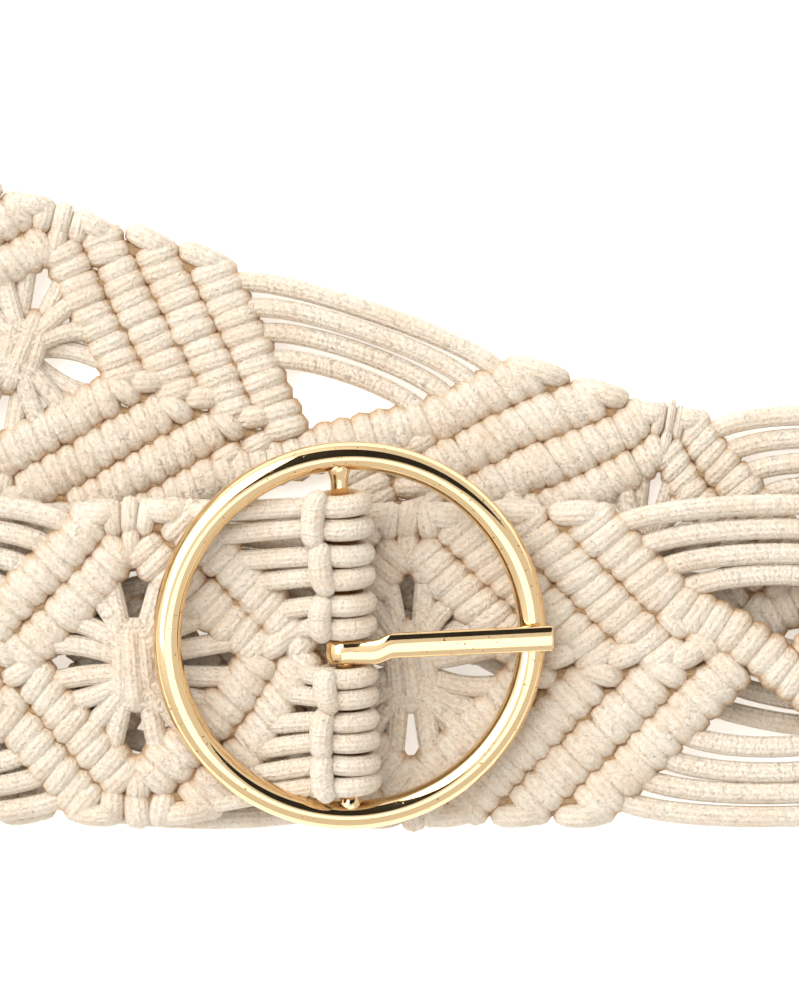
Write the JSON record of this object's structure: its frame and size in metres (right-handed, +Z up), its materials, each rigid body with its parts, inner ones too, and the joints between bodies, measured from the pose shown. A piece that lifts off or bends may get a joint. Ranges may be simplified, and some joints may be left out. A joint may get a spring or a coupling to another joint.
{
  "type": "belt",
  "caption": "Wide openwork belt of knotted cotton cord with a round gold ring buckle and tongue, lying in a loose loop.",
  "frame": {"origin": "on the surface that the belt lies on, under the middle of its bounding box", "axes": "+X along the lying belt from the left turn to the fold on the right, +Y across it towards the rear part of the loop, +Z up from the surface"},
  "size_m": [0.4004, 0.1462, 0.0649],
  "materials": {
    "cotton_cord": "matte braided cord",
    "gold_metal": "polished gold plate"
  },
  "bodies": {
    "belt": {"strap": "cotton_cord", "buckle_frame": "gold_metal"},
    "tongue": {"buckle_tongue": "gold_metal"}
  },
  "joints": [
    {"name": "tongue_pivot", "type": "hinge", "parent": "belt", "child": "tongue", "pos_m": [0.00264, -0.0351, 0.02359], "axis": [0.0331, -0.9853, -0.1674], "range_deg": [0, 140]}
  ]
}
